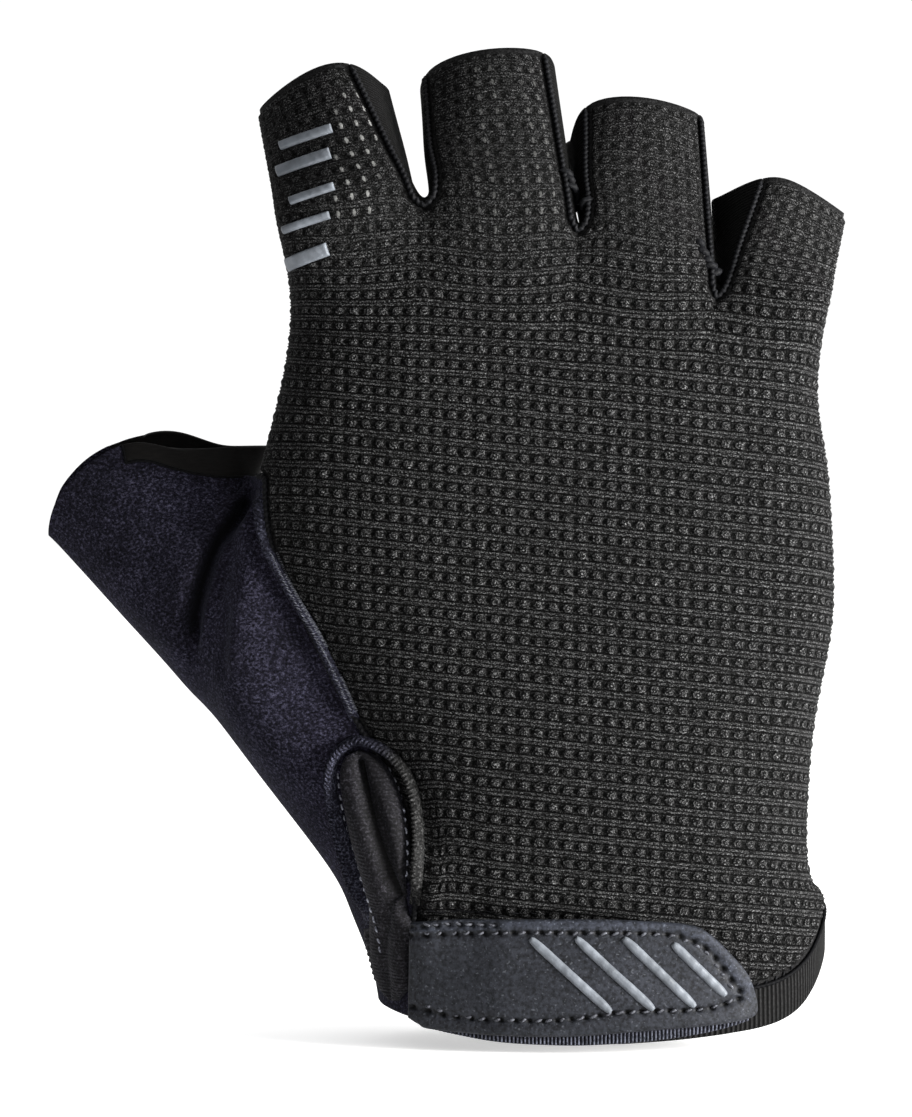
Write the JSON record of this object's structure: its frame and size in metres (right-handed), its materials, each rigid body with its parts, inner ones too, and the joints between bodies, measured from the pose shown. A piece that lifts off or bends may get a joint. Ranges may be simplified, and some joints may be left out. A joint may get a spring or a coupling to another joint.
{
  "type": "short-finger sport glove",
  "caption": "Right-hand short-finger sport glove in its worn shape: knit back, suede palm and thumb, open finger stubs, and a wrist strap with slanted stripes.",
  "frame": {"origin": "the middle of the wrist opening, where the hand goes in", "axes": "+Z from the wrist to the fingertips, -Y out of the back of the hand, +X towards the little finger"},
  "size_m": [0.1375, 0.046, 0.1668],
  "materials": {
    "knit_mesh": "matte open-pore knit, charcoal black",
    "suede": "napped microfibre suede, dark navy",
    "stretch_binding": "smooth elastic binding, black",
    "ribbed_hem": "finely ribbed knit, black",
    "fourchette_knit": "finely ribbed stretch knit, black",
    "strap_material": "coated synthetic suede, slate",
    "strap_ribbing": "ribbed woven edge, slate",
    "silver_print": "raised satin transfer print, silver grey",
    "rolled_suede": "rolled suede edge, navy",
    "gusset_tricot": "brushed tricot, navy"
  },
  "bodies": {
    "root": {"back_panel": "knit_mesh", "palm_panel": "suede", "thumb_panel": "suede", "thumb_binding": "stretch_binding", "wrist_hem": "ribbed_hem", "fourchette_index_middle": "fourchette_knit", "fourchette_middle_ring": "fourchette_knit", "fourchette_ring_little": "fourchette_knit", "closure_strap": "strap_material", "strap_backing": "strap_ribbing", "strap_stripe_1": "silver_print", "strap_stripe_2": "silver_print", "strap_stripe_3": "silver_print", "strap_stripe_4": "silver_print", "finger_bar_1": "silver_print", "finger_bar_2": "silver_print", "finger_bar_3": "silver_print", "finger_bar_4": "silver_print", "finger_bar_5": "silver_print", "thumb_seam_roll": "rolled_suede", "vent_binding": "rolled_suede", "vent_gusset": "gusset_tricot"}
  },
  "joints": []
}
